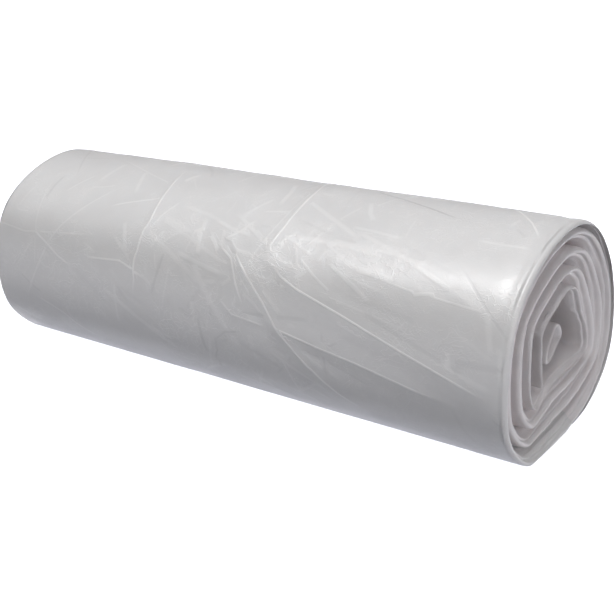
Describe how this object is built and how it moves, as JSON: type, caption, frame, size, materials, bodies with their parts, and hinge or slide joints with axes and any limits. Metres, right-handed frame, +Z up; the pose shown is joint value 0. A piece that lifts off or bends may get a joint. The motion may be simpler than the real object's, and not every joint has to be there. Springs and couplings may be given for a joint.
{
  "type": "bin bag roll",
  "caption": "Coreless roll of folded whitish translucent film bags, wound in soft thick turns round a collapsed hollow and lying on its settled flat.",
  "frame": {"origin": "middle of the settled flat on the underside, at mid length and mid width", "axes": "+X along the roll towards its fuller end, +Z up from the flat, -Y towards the side that the picture shows"},
  "size_m": [0.3, 0.1205, 0.1021],
  "materials": {
    "film": "soft sheen, whitish translucent polyethylene film in many layers"
  },
  "bodies": {
    "root": {"film_roll": "film"}
  },
  "joints": []
}
